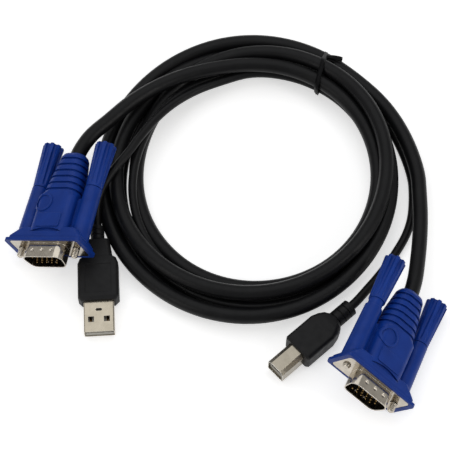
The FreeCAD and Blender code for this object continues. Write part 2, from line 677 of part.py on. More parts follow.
def usb_b_boot():
    """Black overmoulding with rounded shoulders and a ribbed neck."""
    width = USB_B_BOOT_WIDTH
    height = USB_B_BOOT_HEIGHT
    start = USB_B_EXPOSED
    body = sections([
        (start, USB_B_LIP_WIDTH, USB_B_LIP_HEIGHT, USB_B_BOOT_CORNER),
        (start + USB_B_LIP, width, height, USB_B_BOOT_CORNER),
        (USB_B_BOOT_END, width, height, USB_B_BOOT_CORNER),
        (USB_B_BOOT_END + USB_B_SHOULDER, USB_B_SHOULDER_WIDTH, USB_B_SHOULDER_HEIGHT, USB_B_SLOPE_CORNER),
        (USB_B_BOOT_END + USB_B_SLOPE, USB_B_SLOPE_WIDTH, USB_B_SLOPE_HEIGHT, USB_B_SLOPE_CORNER),
        (USB_B_NECK, USB_B_NECK_WIDTH, USB_B_NECK_WIDTH, USB_B_NECK_CORNER),
    ], True)
    boot = body.multiFuse(strain_relief(USB_B_NECK, USB_B_END, USB_B_RELIEF_CORE, USB_B_RELIEF_RIB))
    seat = prism(usb_b_wire(-USB_FIT, start - 1), USB_SHELL_SEAT + 1)
    return boot.cut(seat).cut(cord_bore(USB_B_END)).removeSplitter()


# Cords and tie

def coil_arcs():
    """Centre, radius and start angle of the four tangent arcs of the oval, counter-clockwise from +x."""
    shift = (COIL_HALF_LENGTH - COIL_HALF_WIDTH) / (2 - math.sqrt(2))
    end_radius = COIL_HALF_LENGTH - shift
    side_radius = end_radius + shift * math.sqrt(2)
    x, y = COIL_CENTRE
    return [
        ((x - shift, y), side_radius, -45),
        ((x, y + shift), end_radius, 45),
        ((x + shift, y), side_radius, 135),
        ((x, y - shift), end_radius, 225),
    ]


def bundle_wire(shrink):
    """The bundle's section across y, standing on z = 0 before it is shrunk."""
    return rounded_box_wire(BUNDLE_WIDTH - 2 * shrink, BUNDLE_HEIGHT - 2 * shrink, BUNDLE_CORNER - shrink,
                            0.0, BUNDLE_HEIGHT / 2)


def tie_placement():
    """Frame of the tie: x out of the coil, y along it, z up, at the middle of the bundle."""
    (x, y), radius, _ = coil_arcs()[1]
    turn = math.radians(TIE_ANGLE)
    place = FreeCAD.Vector(x + radius * math.cos(turn), y + radius * math.sin(turn), 0)
    return FreeCAD.Placement(place, FreeCAD.Rotation(FreeCAD.Vector(0, 0, 1), TIE_ANGLE))


def band(width, outer_shrink, inner_shrink):
    """Belt round the bundle, in the tie's frame."""
    outer = prism(bundle_wire(outer_shrink), width)
    belt = outer.cut(prism(bundle_wire(inner_shrink), width))
    belt.translate(FreeCAD.Vector(0, -width / 2, 0))
    return belt


def coil():
    """The coil's outer shape, nipped where the tie goes round it."""
    quarters = []
    for (x, y), radius, start in coil_arcs():
        section = Part.Face(bundle_wire(0))
        section.translate(FreeCAD.Vector(radius, 0, 0))
        quarter = section.revolve(FreeCAD.Vector(0, 0, 0), FreeCAD.Vector(0, 0, 1), 90)
        quarter.rotate(FreeCAD.Vector(0, 0, 0), FreeCAD.Vector(0, 0, 1), start)
        quarter.translate(FreeCAD.Vector(x, y, 0))
        quarters.append(quarter)
    ring = quarters[0].multiFuse(quarters[1:]).removeSplitter()
    nip = band(TIE_WIDTH + 2 * TIE_CLEARANCE, -1, TIE_THICKNESS + TIE_CLEARANCE)
    nip.Placement = tie_placement().multiply(nip.Placement)
    return ring.cut(nip)


def twist_tie():
    """Ribbon round the bundle, its twist on top and the two flat ends."""
    pieces = []
    knot_base = FreeCAD.Vector(TIE_KNOT_OFFSET, 0, BUNDLE_HEIGHT - TIE_THICKNESS / 2)
    pieces.append(Part.makeCylinder(TIE_KNOT_RADIUS, TIE_KNOT_HEIGHT, knot_base))
    for length, angle in zip(TIE_END_LENGTHS, TIE_END_ANGLES):
        end = block((-TIE_WIDTH / 2, 0, 0), (TIE_WIDTH / 2, length, TIE_THICKNESS))
        end.rotate(FreeCAD.Vector(0, 0, 0), FreeCAD.Vector(0, 0, 1), 180 + angle)
        end.translate(FreeCAD.Vector(TIE_KNOT_OFFSET, 0, BUNDLE_HEIGHT + TIE_CLEARANCE))
        pieces.append(end)
    tie = band(TIE_WIDTH, 0, TIE_THICKNESS).multiFuse(pieces).removeSplitter()
    tie.Placement = tie_placement().multiply(tie.Placement)
    return tie


def tube(name, diameter, points):
    """Cord of straight runs joined by the largest tangent arcs; prints its length and radii."""
    edges = []
    radii = []
    here = points[0]
    for before, corner, after in zip(points, points[1:], points[2:]):
        back = (before - corner).normalize()
        ahead = (after - corner).normalize()
        turn = math.pi - back.getAngle(ahead)
        setback = ARC_SHARE * min((before - corner).Length, (after - corner).Length)
        radius = setback / math.tan(turn / 2)
        start = corner + back * setback
        end = corner + ahead * setback
        inwards = (back + ahead).normalize()
        middle = corner + inwards * (radius / math.cos(turn / 2) - radius)
        edges.append(Part.LineSegment(here, start).toShape())
        edges.append(Part.Arc(start, middle, end).toShape())
        radii.append(radius)
        here = end
    edges.append(Part.LineSegment(here, points[-1]).toShape())
    path = Part.Wire(edges)
    ring = Part.Wire(Part.Circle(points[0], points[1] - points[0], diameter / 2).toShape())
    solid = path.makePipeShell([ring], True, False)
    ratio = solid.Volume / (path.Length * math.pi * diameter ** 2 / 4)
    print(name, "length", round(path.Length, 1), "volume ratio", round(ratio, 4),
          "radii", [round(r, 1) for r in radii])
    return solid


def tail(name, diameter, place, end, lead_out, route):
    """A cord from its seat in a plug, straight out, and along its route into the coil."""
    points = [plug_point(place, end - CORD_SEAT), plug_point(place, end + lead_out)]
    points += [FreeCAD.Vector(*point) for point in route]
    return tube(name, diameter, points)


def placed(shape, place):
    """Copy of a plug's piece in the cable's frame."""
    copy = shape.copy()
    copy.Placement = placement(place).multiply(copy.Placement)
    return copy


def d_sub_plug(prefix, place, drawn):
    """All nodes of one D-sub plug; its thumbscrews are left at -x and right at +x."""
    nodes = {
        "hood": hood(),
        "front_shell": front_shell(),
        "rear_shell": rear_shell(),
        "insulator": insulator(),
        "pins": contact_pins(),
    }
    for name, side, back in (("left", -1, drawn[0]), ("right", 1, drawn[1])):
        nodes[name + "_knob"] = thumb_knob(side, back)
        nodes[name + "_jackscrew"] = jackscrew(side, back)
    return {prefix + name: placed(shape, place) for name, shape in nodes.items()}


def build():
    """Every node of the cable by name."""
    nodes = {}
    nodes.update(d_sub_plug("left_vga_", LEFT_VGA_PLACE, LEFT_VGA_DRAWN))
    nodes.update(d_sub_plug("right_vga_", RIGHT_VGA_PLACE, RIGHT_VGA_DRAWN))
    for name, maker in (("boot", usb_a_boot), ("shell", usb_a_shell), ("tongue", usb_a_tongue),
                        ("contacts", usb_a_contacts)):
        nodes["usb_a_" + name] = placed(maker(), USB_A_PLACE)
    for name, maker in (("boot", usb_b_boot), ("shell", usb_b_shell), ("insulator", usb_b_insulator),
                        ("contacts", usb_b_contacts)):
        nodes["usb_b_" + name] = placed(maker(), USB_B_PLACE)
    nodes["coil"] = coil()
    nodes["twist_tie"] = twist_tie()
    for name, diameter, place, end, lead_out, route in (
        ("left_vga_tail", VIDEO_DIAMETER, LEFT_VGA_PLACE, HOOD_LENGTH, VIDEO_LEAD_OUT, LEFT_VIDEO_ROUTE),
        ("right_vga_tail", VIDEO_DIAMETER, RIGHT_VGA_PLACE, HOOD_LENGTH, VIDEO_LEAD_OUT, RIGHT_VIDEO_ROUTE),
        ("usb_a_tail", USB_DIAMETER, USB_A_PLACE, USB_A_END, USB_LEAD_OUT, USB_A_ROUTE),
        ("usb_b_tail", USB_DIAMETER, USB_B_PLACE, USB_B_END, USB_LEAD_OUT, USB_B_ROUTE),
    ):
        nodes[name] = tail(name, diameter, place, end, lead_out, route)
    return nodes


os.makedirs("parts", exist_ok=True)
for node, shape in build().items():
    shape.exportStep("parts/" + node + ".step")
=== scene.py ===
"""Looks of the KVM cable: camera, materials, the two cords, screw threads, the tie, floor and light.

Metres, in the frame of the CAD model, apart from the values that are said to be in mm or degrees.
"""
import json
import math

import bmesh
import bpy
from mathutils import Matrix, Vector


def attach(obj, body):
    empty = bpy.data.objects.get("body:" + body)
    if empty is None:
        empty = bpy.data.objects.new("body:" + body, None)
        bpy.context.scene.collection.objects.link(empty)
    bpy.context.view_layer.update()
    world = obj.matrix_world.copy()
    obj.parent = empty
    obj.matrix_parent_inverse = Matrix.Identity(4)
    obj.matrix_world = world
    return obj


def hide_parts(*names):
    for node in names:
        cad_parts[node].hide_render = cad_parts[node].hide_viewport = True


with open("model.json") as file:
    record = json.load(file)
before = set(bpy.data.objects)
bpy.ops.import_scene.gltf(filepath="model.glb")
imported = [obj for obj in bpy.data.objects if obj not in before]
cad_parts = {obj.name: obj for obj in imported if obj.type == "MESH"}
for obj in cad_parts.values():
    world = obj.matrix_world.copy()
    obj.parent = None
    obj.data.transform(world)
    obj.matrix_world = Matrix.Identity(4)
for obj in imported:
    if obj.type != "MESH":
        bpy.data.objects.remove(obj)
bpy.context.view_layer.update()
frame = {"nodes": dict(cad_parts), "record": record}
nodes = frame["nodes"]
scene = bpy.context.scene

MM = 0.001

# Camera, with its angles in degrees
CAMERA_ELEVATION = 61.59
CAMERA_DISTANCE = 0.57275
CAMERA_TARGET = (0.0001, 0.0036, 0.0)
CAMERA_ANGLE = 18.30
CAMERA_CLIP = 0.01

# Noises of the materials: places per metre and levels of detail
CLOUD = (160, 4)
WEAR = (700, 3)
PLASTIC_GLOSS = (420, 4)
PLATE = (240, 4)
METAL_GLOSS = (900, 3)
SCRATCHES = (1400, 2)
GRAIN_DETAIL = 3
NOISE_ROUGHNESS = 0.6
NOISE_RANGE = (0.3, 0.7)    # where most of a noise's values lie

# Other values of the materials
WEAR_RANGE = (0.15, 0.8)    # how strongly an edge is rubbed, from place to place
SCRATCH_DEPTH = 0.000004
EDGE_SAMPLES = 6
EDGE_COSINES = (0.85, 0.995)            # between the rounded and the true normal, from edge to face
# The pins' tips, the faces turned this way, get a painted highlight of bright gold.
TIP_DIRECTION = (-0.3, -0.95, 0.0)      # the way both D-sub plugs face
TIP_COSINES = (0.6, 0.85)               # between that way and a face, from a pin's side to its tip
MIX_COLOURS = (6, 7)        # the Mix node's inputs for two colours, and its output for their mix
MIX_RESULT = 2

# Cords
VIDEO_DIAMETER = 0.0062
USB_DIAMETER = 0.0036
SPLINE_ORDER = 3
SPLINE_STEPS = 6            # between two points of a spline
ROUND_STEPS = 6             # Blender's bevel resolution, which sets the sides of a cord
COIL_CENTRE = (0.0109, 0.0255)
COIL_HALF_WIDTH = 0.0538
COIL_HALF_LENGTH = 0.0581
TURNS_FROM = 90             # where the turns begin, degrees from +x about the coil's centre
STOP_ANGLE = 60             # degrees between the sections where a strand's place is given
TURN_STEP = 15              # degrees between the points of a turn
TURN_SPREAD = 1.0086        # the spline runs this much inside points at that step
LAST_TURN = 30              # degrees of the last row that the turns go through

# Points of each cord in order from its first plug, in mm
VIDEO_START = [
    (-61.50, 23.34, 13.93),
    (-60.62, 27.44, 14.04),
    (-58.0, 33.5, 14.2),
    (-54.3, 39.0, 14.4),
    (-47.8, 45.2, 14.4),
    (-39.5, 54.5, 14.0),
    (-27.5, 63.8, 13.2),
    (-15.0, 69.9, 12.7),
    (-2.0, 73.5, 12.1),
]
VIDEO_END = [
    (56.7, 71.1, 5.7),
    (67.8, 58.3, 6.1),
    (75.4, 42.8, 6.4),
    (79.8, 25.5, 6.7),
    (79.7, 14.5, 6.9),
    (79.4, 4.0, 7.4),
    (78.3, -7.0, 8.3),
    (76.6, -17.5, 9.7),
    (74.9, -26.5, 10.9),
    (72.43, -33.94, 11.81),
    (70.58, -37.91, 12.16),
]
USB_START = [
    (-51.50, -3.88, 4.0),
    (-51.75, 0.11, 4.0),
    (-52.1, 3.8, 4.9),
    (-52.2, 8.6, 7.3),
    (-50.6, 14.0, 9.9),
    (-47.6, 19.4, 11.9),
    (-43.6, 25.0, 12.7),
    (-39.3, 31.0, 12.8),
    (-35.3, 38.0, 12.8),
    (-28.6, 48.3, 11.8),
    (-20.7, 57.2, 10.4),
    (-11.4, 64.4, 8.8),
    (-1.0, 69.6, 7.5),
]
USB_END = [
    (55.8, 70.4, 1.8),
    (66.0, 57.4, 1.8),
    (73.4, 42.4, 1.8),
    (78.0, 25.5, 1.8),
    (77.8, 14.8, 1.8),
    (76.6, 5.4, 1.8),
    (73.8, -2.3, 1.8),
    (70.0, -8.9, 1.8),
    (65.7, -15.4, 1.9),
    (60.9, -22.0, 2.5),
    (56.4, -27.8, 4.0),
    (52.2, -33.1, 4.8),
    (49.27, -35.90, 4.90),
    (46.30, -38.58, 4.90),
]
# A row for each turn. Its pairs are how far the cord lies outside the coil's middle line and its height,
# in mm, at 90, 30, -30, -90, -150 and 150 degrees. The last row is the start of a fourth turn.
VIDEO_TURNS = [
    [(-8.5, 11.6), (-2.5, 8.3), (-1.9, 6.5), (-5.5, 3.7), (-6.1, 3.4), (-5.8, 4.9)],
    [(-1.5, 10.5), (2.2, 12.6), (0.4, 12.0), (-1.0, 9.0), (2.0, 8.5), (1.2, 6.2)],
    [(1.6, 5.0), (3.0, 6.8), (4.6, 7.5), (8.2, 7.0), (8.0, 4.2), (7.5, 3.4)],
    [(6.0, 8.1), (8.7, 5.6)],
]
USB_TURNS = [
    [(-9.9, 7.2), (-1.9, 3.6), (-0.8, 1.9), (-0.5, 2.4), (-2.6, 6.6), (-8.3, 9.3)],
    [(-7.4, 4.4), (1.2, 1.9), (2.2, 3.2), (2.8, 4.3), (0.6, 2.6), (-1.6, 1.9)],
    [(-2.4, 1.9), (4.8, 1.9), (5.3, 1.9), (5.5, 1.9), (3.6, 1.9), (3.0, 1.9)],
    [(6.3, 1.9), (8.0, 1.9)],
]

# Plugs: place, then yaw, pitch and roll in degrees
LEFT_VGA = ((-0.0695, -0.0140, 0.01286), (-12.1, 1.6, -22.1))
RIGHT_VGA = ((0.05455, -0.07245, 0.01526), (-24.9, -4.65, 34.0))

# Jackscrews: name, plug, side of the plug, and how far the screw is drawn back
SCREWS = [
    ("left_vga_left", LEFT_VGA, -1, 0.0),
    ("left_vga_right", LEFT_VGA, 1, 0.0),
    ("right_vga_left", RIGHT_VGA, -1, 0.0029),
    ("right_vga_right", RIGHT_VGA, 1, 0.0),
]
SCREW_SPACING = 0.02499
SCREW_REACH = 0.0039        # from the plug's face to the tip of a screw that is home
SCREW_SIDES = 36
# Distance from the tip and radius in mm, before and behind the thread
SCREW_TIP = [(0.0, 0.55), (0.0, 0.98), (0.05, 1.02)]
SCREW_SHANK = [(3.6, 1.15), (3.75, 1.15), (8.5, 1.15), (8.6, 1.60), (8.7, 1.60), (41.3, 1.60)]
THREAD_FROM = 0.0004        # from the tip
THREAD_TO = 0.0036
THREAD_RADIUS = 0.00142
THREAD_PITCH = 0.000635
THREAD_DEPTH = 0.00030
THREAD_RINGS = 8            # for each turn of the thread
GROOVE_WIDTH = 0.5          # share of the pitch
FLANK_SLOPE = 1.25          # depths that a flank would go down by the groove's middle, where it is flat

# Twist tie
TIE_ANGLE = 57.5            # where it crosses the bundle, degrees from +x about the coil's centre
TIE_SKEW = 0.30             # along the bundle for each mm across it
TIE_WIDTH = 0.0023
TIE_THICKNESS = 0.0005
TIE_SHIFT = 0.0006          # how far it stands off the strands inside the coil and is pressed in outside
TIE_LOOP_POINTS = 72
# Outline of the ribbon, in widths across and thicknesses out, with a ridge over the wire
TIE_PROFILE = [
    (-0.5, 0.35), (-0.2, 0.45), (0.0, 1.0), (0.2, 0.45),
    (0.5, 0.35), (0.5, -0.35), (0.0, -0.5), (-0.5, -0.35),
]
# Start, bend and tip of the two flat ends, in mm in the tie's frame
TIE_ENDS = [
    ((6.2, 2.6, 10.8), (7.8, -1.0, 11.8), (9.5, -4.6, 10.1)),
    ((6.0, 2.2, 10.4), (7.0, -0.8, 10.8), (7.8, -3.6, 9.0)),
]
TIE_END_RINGS = 16
TIE_END_LEAN = 50           # the way an end faces at its start, degrees up from outwards
TIE_END_TWIST = 45          # degrees that it turns on by its tip

# Floor and world
FLOOR_HALF = 3.0
FLOOR_DROP = 0.0002         # under the part
FLOOR_COLOUR = (0.86, 0.86, 0.86, 1)
FLOOR_ROUGHNESS = 0.9
FLOOR_GLOW = 0.55           # where it is seen
WORLD_LIGHT = 0.24          # what it lights with
WORLD_SHOWN = 0.44          # what it is seen as
WHITE = (1, 1, 1, 1)


# Camera

camera = bpy.data.objects.new("camera", bpy.data.cameras.new("camera"))
scene.collection.objects.link(camera)
lift = math.radians(CAMERA_ELEVATION)
camera.location = Vector(CAMERA_TARGET) + CAMERA_DISTANCE * Vector((0, -math.cos(lift), math.sin(lift)))
camera.rotation_euler = (math.pi / 2 - lift, 0, 0)
camera.data.angle = math.radians(CAMERA_ANGLE)
camera.data.clip_start = CAMERA_CLIP
scene.camera = camera


# Materials

def add(tree, kind, values=None, **settings):
    """New shader node with its settings and the default values of its inputs."""
    node = tree.nodes.new("ShaderNode" + kind)
    for key, value in settings.items():
        setattr(node, key, value)
    for key, value in (values or {}).items():
        node.inputs[key].default_value = value
    return node


def surface(name):
    """New material, its node tree and its shader."""
    material = bpy.data.materials.new(name)
    material.use_nodes = True
    tree = material.node_tree
    return material, tree, tree.nodes["Principled BSDF"]


def noise(tree, scale, detail, stretch=None):
    """Noise over the object, in places per metre, and stretched along an axis if asked."""
    place = add(tree, "TexCoord").outputs["Object"]
    if stretch:
        mapping = add(tree, "Mapping", {"Scale": stretch})
        tree.links.new(place, mapping.inputs["Vector"])
        place = mapping.outputs["Vector"]
    node = add(tree, "TexNoise", {"Scale": scale, "Detail": detail, "Roughness": NOISE_ROUGHNESS})
    tree.links.new(place, node.inputs["Vector"])
    return node.outputs["Fac"]


def spread(tree, value, low, high, taken=NOISE_RANGE):
    """Maps the range that a value takes onto the range low to high."""
    node = add(tree, "MapRange", {"From Min": taken[0], "From Max": taken[1], "To Min": low, "To Max": high})
    tree.links.new(value, node.inputs["Value"])
    return node.outputs["Result"]


def blend(tree, factor, first, second):
    """Mix of two colours; either may be a node's output."""
    node = add(tree, "Mix", data_type="RGBA")
    tree.links.new(factor, node.inputs["Factor"])
    for number, colour in zip(MIX_COLOURS, (first, second)):
        if isinstance(colour, tuple):
            node.inputs[number].default_value = (*colour, 1)
        else:
            tree.links.new(colour, node.inputs[number])
    return node.outputs[MIX_RESULT]


def edges(tree, radius):
    """Normal with edges rounded at that radius, and a mask that is 1 along the edges."""
    bevel = add(tree, "Bevel", {"Radius": radius}, samples=EDGE_SAMPLES)
    geometry = add(tree, "NewGeometry")
    dot = add(tree, "VectorMath", operation="DOT_PRODUCT")
    tree.links.new(bevel.outputs["Normal"], dot.inputs[0])
    tree.links.new(geometry.outputs["Normal"], dot.inputs[1])
    return bevel.outputs["Normal"], spread(tree, dot.outputs["Value"], 1, 0, EDGE_COSINES)


def bump(tree, height, depth, normal=None):
    """Bump of that depth in metres."""
    node = add(tree, "Bump", {"Strength": 1.0, "Distance": depth})
    tree.links.new(height, node.inputs["Height"])
    if normal:
        tree.links.new(normal, node.inputs["Normal"])
    return node.outputs["Normal"]


def plastic(name, dark, light, rough, grain, depth, edge=None, radius=0.00025, level=0.5):
    """Moulded plastic: cloudy colour, a fine spark texture, and edges of their own colour if asked."""
    material, tree, shader = surface(name)
    colour = blend(tree, spread(tree, noise(tree, *CLOUD), 0, 1), dark, light)
    normal = None
    if edge:
        normal, rubbed_and_highlit = edges(tree, radius)
        wear = add(tree, "Math", operation="MULTIPLY")
        tree.links.new(rubbed_and_highlit, wear.inputs[0])
        tree.links.new(spread(tree, noise(tree, *WEAR), *WEAR_RANGE), wear.inputs[1])
        colour = blend(tree, wear.outputs["Value"], colour, edge)
    tree.links.new(colour, shader.inputs["Base Color"])
    tree.links.new(spread(tree, noise(tree, *PLASTIC_GLOSS), *rough), shader.inputs["Roughness"])
    spark = noise(tree, grain, GRAIN_DETAIL)
    tree.links.new(bump(tree, spark, depth, normal), shader.inputs["Normal"])
    shader.inputs["Specular IOR Level"].default_value = level
    return material


def metal(name, dark, light, edge, rough, stretch, radius=0.00015, tip=None):
    """Plated metal: uneven plate colour, fine drawn scratches, edges lightened as a painted highlight, and,
    if asked, faces turned the plugs' way in another colour as a painted highlight on the pins' tips.
    """
    material, tree, shader = surface(name)
    colour = blend(tree, spread(tree, noise(tree, *PLATE), 0, 1), dark, light)
    # Painted highlight: faces turned the plugs' way, the pins' tips, take the tip colour.
    if tip:
        facing = add(tree, "VectorMath", {1: TIP_DIRECTION}, operation="DOT_PRODUCT")
        tree.links.new(add(tree, "NewGeometry").outputs["Normal"], facing.inputs[0])
        colour = blend(tree, spread(tree, facing.outputs["Value"], 0, 1, TIP_COSINES), colour, tip)
    normal, rubbed_and_highlit = edges(tree, radius)
    # Painted highlight: the edges are blended towards the lighter edge colour.
    tree.links.new(blend(tree, rubbed_and_highlit, colour, edge), shader.inputs["Base Color"])
    shader.inputs["Metallic"].default_value = 1.0
    tree.links.new(spread(tree, noise(tree, *METAL_GLOSS), *rough), shader.inputs["Roughness"])
    scratches = noise(tree, *SCRATCHES, stretch)
    tree.links.new(bump(tree, scratches, SCRATCH_DEPTH, normal), shader.inputs["Normal"])
    return material


hood_blue = plastic(
    "hood_blue", dark=(0.0032, 0.0315, 0.230), light=(0.0048, 0.0405, 0.285), edge=(0.018, 0.080, 0.400),
    rough=(0.34, 0.50), grain=5200, depth=0.000012, level=0.20)
knob_blue = plastic(
    "knob_blue", dark=(0.0034, 0.0335, 0.245), light=(0.0050, 0.0430, 0.300), edge=(0.020, 0.085, 0.415),
    rough=(0.32, 0.46), grain=4600, depth=0.000012, level=0.20)
jacket_black = plastic(
    "jacket_black", dark=(0.0050, 0.0051, 0.0057), light=(0.0078, 0.0079, 0.0086),
    rough=(0.34, 0.46), grain=2600, depth=0.000010, level=0.15)
overmould_black = plastic(
    "overmould_black", dark=(0.0048, 0.0048, 0.0054), light=(0.0075, 0.0075, 0.0082),
    edge=(0.020, 0.020, 0.021), rough=(0.42, 0.58), grain=3600, depth=0.000016, level=0.20)
insulator_black = plastic(
    "insulator_black", dark=(0.0030, 0.0026, 0.0022), light=(0.0055, 0.0048, 0.0040),
    edge=(0.01, 0.009, 0.007), rough=(0.45, 0.60), grain=4200, depth=0.000008, level=0.2)
insulator_pale = plastic(
    "insulator_pale", dark=(0.50, 0.48, 0.43), light=(0.58, 0.56, 0.50), edge=(0.62, 0.60, 0.55),
    rough=(0.38, 0.52), grain=4200, depth=0.000008)
tie_black = plastic(
    "tie_black", dark=(0.0036, 0.0036, 0.0042), light=(0.0062, 0.0062, 0.0068), edge=(0.009, 0.009, 0.010),
    rough=(0.40, 0.55), grain=3000, depth=0.000015, radius=0.0001, level=0.07)
# The metals' edge colours are painted highlights along their edges.
nickel = metal(
    "nickel", dark=(0.43, 0.39, 0.33), light=(0.56, 0.51, 0.435), edge=(0.80, 0.77, 0.72),
    rough=(0.10, 0.22), stretch=(1, 1, 6))
shell_nickel = metal(
    "shell_nickel", dark=(0.39, 0.348, 0.275), light=(0.465, 0.418, 0.335), edge=(0.90, 0.88, 0.84),
    rough=(0.20, 0.32), stretch=(6, 1, 1))
# A darker copy of the shell nickel, painted shade for the type B shell's tilted faces, with brighter painted
# edge highlights.
type_b_shaded_nickel = metal(
    "type_b_shaded_nickel", dark=(0.300, 0.270, 0.218), light=(0.360, 0.325, 0.265), edge=(0.95, 0.94, 0.92),
    rough=(0.20, 0.32), stretch=(6, 1, 1))
# The gold is painted dark as painted shade inside the plugs, with a bright tip colour as a painted highlight
# on the pins' tips.
gold = metal(
    "gold", dark=(0.05, 0.028, 0.010), light=(0.09, 0.052, 0.019), edge=(0.09, 0.052, 0.019),
    rough=(0.24, 0.38), stretch=(1, 1, 1), radius=0.00005, tip=(0.75, 0.46, 0.15))

FINISHES = {
    "hood": hood_blue, "knob": knob_blue, "bright_metal": nickel, "usb_metal": shell_nickel,
    "dark_plastic": insulator_black, "pale_plastic": insulator_pale, "contacts": gold,
    "overmould": overmould_black, "jacket": jacket_black, "tie": tie_black,
}
for part in frame["record"]["subparts"]:
    for place in nodes[part["node"]].material_slots:
        place.material = FINISHES[part["material_slot"]]
# The type B shell takes the darker copy of the shell nickel as painted shade.
for place in nodes["usb_b_shell"].material_slots:
    place.material = type_b_shaded_nickel


# Cords

def eased(row, share):
    """Value between the middle two of four numbers, on a smooth curve through them."""
    a, b, c, d = row
    return b + share / 2 * (c - a + share * (2 * a - 5 * b + 4 * c - d + share * (3 * (b - c) + d - a)))


def strand_place(turns, turned):
    """How far outwards and how high a cord lies, in metres, when it has turned by that many degrees."""
    stops = [stop for turn in turns for stop in turn]
    number, share = divmod(turned / STOP_ANGLE, 1)
    near = [stops[min(max(int(number) + k, 0), len(stops) - 1)] for k in (-1, 0, 1, 2)]
    return [eased(row, share) * MM for row in zip(*near)]


def middle_radius(angle):
    """Distance of the coil's middle line from its centre at an angle in radians."""
    return 1 / math.hypot(math.cos(angle) / COIL_HALF_WIDTH, math.sin(angle) / COIL_HALF_LENGTH)


def turn_points(turns):
    """Points of a cord's turns, clockwise."""
    points = []
    for turned in range(0, 360 * (len(turns) - 1) + LAST_TURN + 1, TURN_STEP):
        angle = math.radians(TURNS_FROM - turned)
        outwards, height = strand_place(turns, turned)
        reach = (middle_radius(angle) + outwards) * TURN_SPREAD
        x = COIL_CENTRE[0] + reach * math.cos(angle)
        y = COIL_CENTRE[1] + reach * math.sin(angle)
        points.append((x, y, height))
    return points


def in_metres(table):
    """A table of points in mm as metres."""
    return [tuple(value * MM for value in row) for row in table]


def cord_piece(name, points, diameter):
    """Cord on one open NURBS spline."""
    data = bpy.data.curves.new(name, "CURVE")
    data.dimensions = "3D"
    spline = data.splines.new("NURBS")
    spline.points.add(len(points) - 1)
    for point, place in zip(spline.points, points):
        point.co = (*place, 1)
    spline.order_u = SPLINE_ORDER
    spline.use_endpoint_u = True
    spline.use_smooth = True
    data.resolution_u = SPLINE_STEPS
    data.bevel_depth = diameter / 2
    data.bevel_resolution = ROUND_STEPS
    data.use_fill_caps = True
    data.materials.append(jacket_black)
    piece = bpy.data.objects.new(name, data)
    scene.collection.objects.link(piece)
    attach(piece, "cable")
    return piece


video_points = in_metres(VIDEO_START) + turn_points(VIDEO_TURNS) + in_metres(VIDEO_END)
usb_points = in_metres(USB_START) + turn_points(USB_TURNS) + in_metres(USB_END)
video_cord = cord_piece("video_cord", video_points, VIDEO_DIAMETER)
usb_cord = cord_piece("usb_cord", usb_points, USB_DIAMETER)
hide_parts("coil", "left_vga_tail", "right_vga_tail")
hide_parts("usb_a_tail", "usb_b_tail")


# Meshes

def mesh_piece(name, build, material, body, matrix):
    """Smooth mesh from a function that fills a bmesh, put in place by a matrix and riding on a body."""
    data = bpy.data.meshes.new(name)
    work = bmesh.new()
    build(work)
    bmesh.ops.recalc_face_normals(work, faces=work.faces)
    for face in work.faces:
        face.smooth = True
    work.to_mesh(data)
    work.free()
    data.transform(matrix)
    data.materials.append(material)
    piece = bpy.data.objects.new(name, data)
    scene.collection.objects.link(piece)
    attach(piece, body)
    return piece


def join_rings(work, rings, closed):
    """Faces between neighbouring rings; the last is joined to the first, or both have end faces."""
    sides = len(rings[0])
    followers = rings[1:] + rings[:1] if closed else rings[1:]
    for one, two in zip(rings, followers):
        for k in range(sides):
            work.faces.new((one[k], one[(k + 1) % sides], two[(k + 1) % sides], two[k]))
    if not closed:
        work.faces.new(rings[0])
        work.faces.new(rings[-1])


# Screw threads

def plug_frame(place):
    """Matrix of a plug's own frame."""
    position, (yaw, pitch, roll) = place
    turn = Matrix.Rotation(math.radians(yaw), 4, "Z")
    turn = turn @ Matrix.Rotation(math.radians(pitch), 4, "X")
    turn = turn @ Matrix.Rotation(math.radians(roll), 4, "Y")
    return Matrix.Translation(position) @ turn


def screw_rows():
    """Distance from the tip, radius and depth of groove of each ring of a jackscrew."""
    rows = [(distance * MM, radius * MM, 0.0) for distance, radius in SCREW_TIP]
    length = THREAD_TO - THREAD_FROM
    count = int(length / THREAD_PITCH * THREAD_RINGS)
    rows += [(THREAD_FROM + length * i / count, THREAD_RADIUS, THREAD_DEPTH) for i in range(count + 1)]
    rows += [(distance * MM, radius * MM, 0.0) for distance, radius in SCREW_SHANK]
    return rows


def groove(turns):
    """Share of its depth that the thread's groove has after so many turns of the thread."""
    off_middle = abs(turns % 1.0 - 0.5) / (GROOVE_WIDTH / 2)
    return min(1.0, max(0.0, FLANK_SLOPE * (1 - off_middle)))


def screw(side, drawn):
    """Builder of one jackscrew in its plug's frame, with a real helical thread."""
    def build(work):
        rings = []
        for distance, radius, depth in screw_rows():
            ring = []
            for k in range(SCREW_SIDES):
                share = k / SCREW_SIDES
                turn = 2 * math.pi * share
                reach = radius - depth * groove(distance / THREAD_PITCH + share)
                x = side * SCREW_SPACING / 2 + reach * math.cos(turn)
                y = distance - SCREW_REACH + drawn
                ring.append(work.verts.new((x, y, reach * math.sin(turn))))
            rings.append(ring)
        join_rings(work, rings, closed=False)
    return build


for name, place, side, drawn in SCREWS:
    thread = screw(side, drawn)
    piece = mesh_piece(name + "_thread", thread, nickel, name + "_screw", plug_frame(place))
    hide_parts(name + "_jackscrew")


# Twist tie

def bundle_section(angle):
    """Every strand where the bundle is cut at that angle, as (outwards, height, radius)."""
    strands = []
    for turns, diameter in ((VIDEO_TURNS, VIDEO_DIAMETER), (USB_TURNS, USB_DIAMETER)):
        for turn in range(len(turns)):
            outwards, height = strand_place(turns, 360 * turn + TURNS_FROM - angle)
            strands.append((outwards, height, diameter / 2))
    return strands


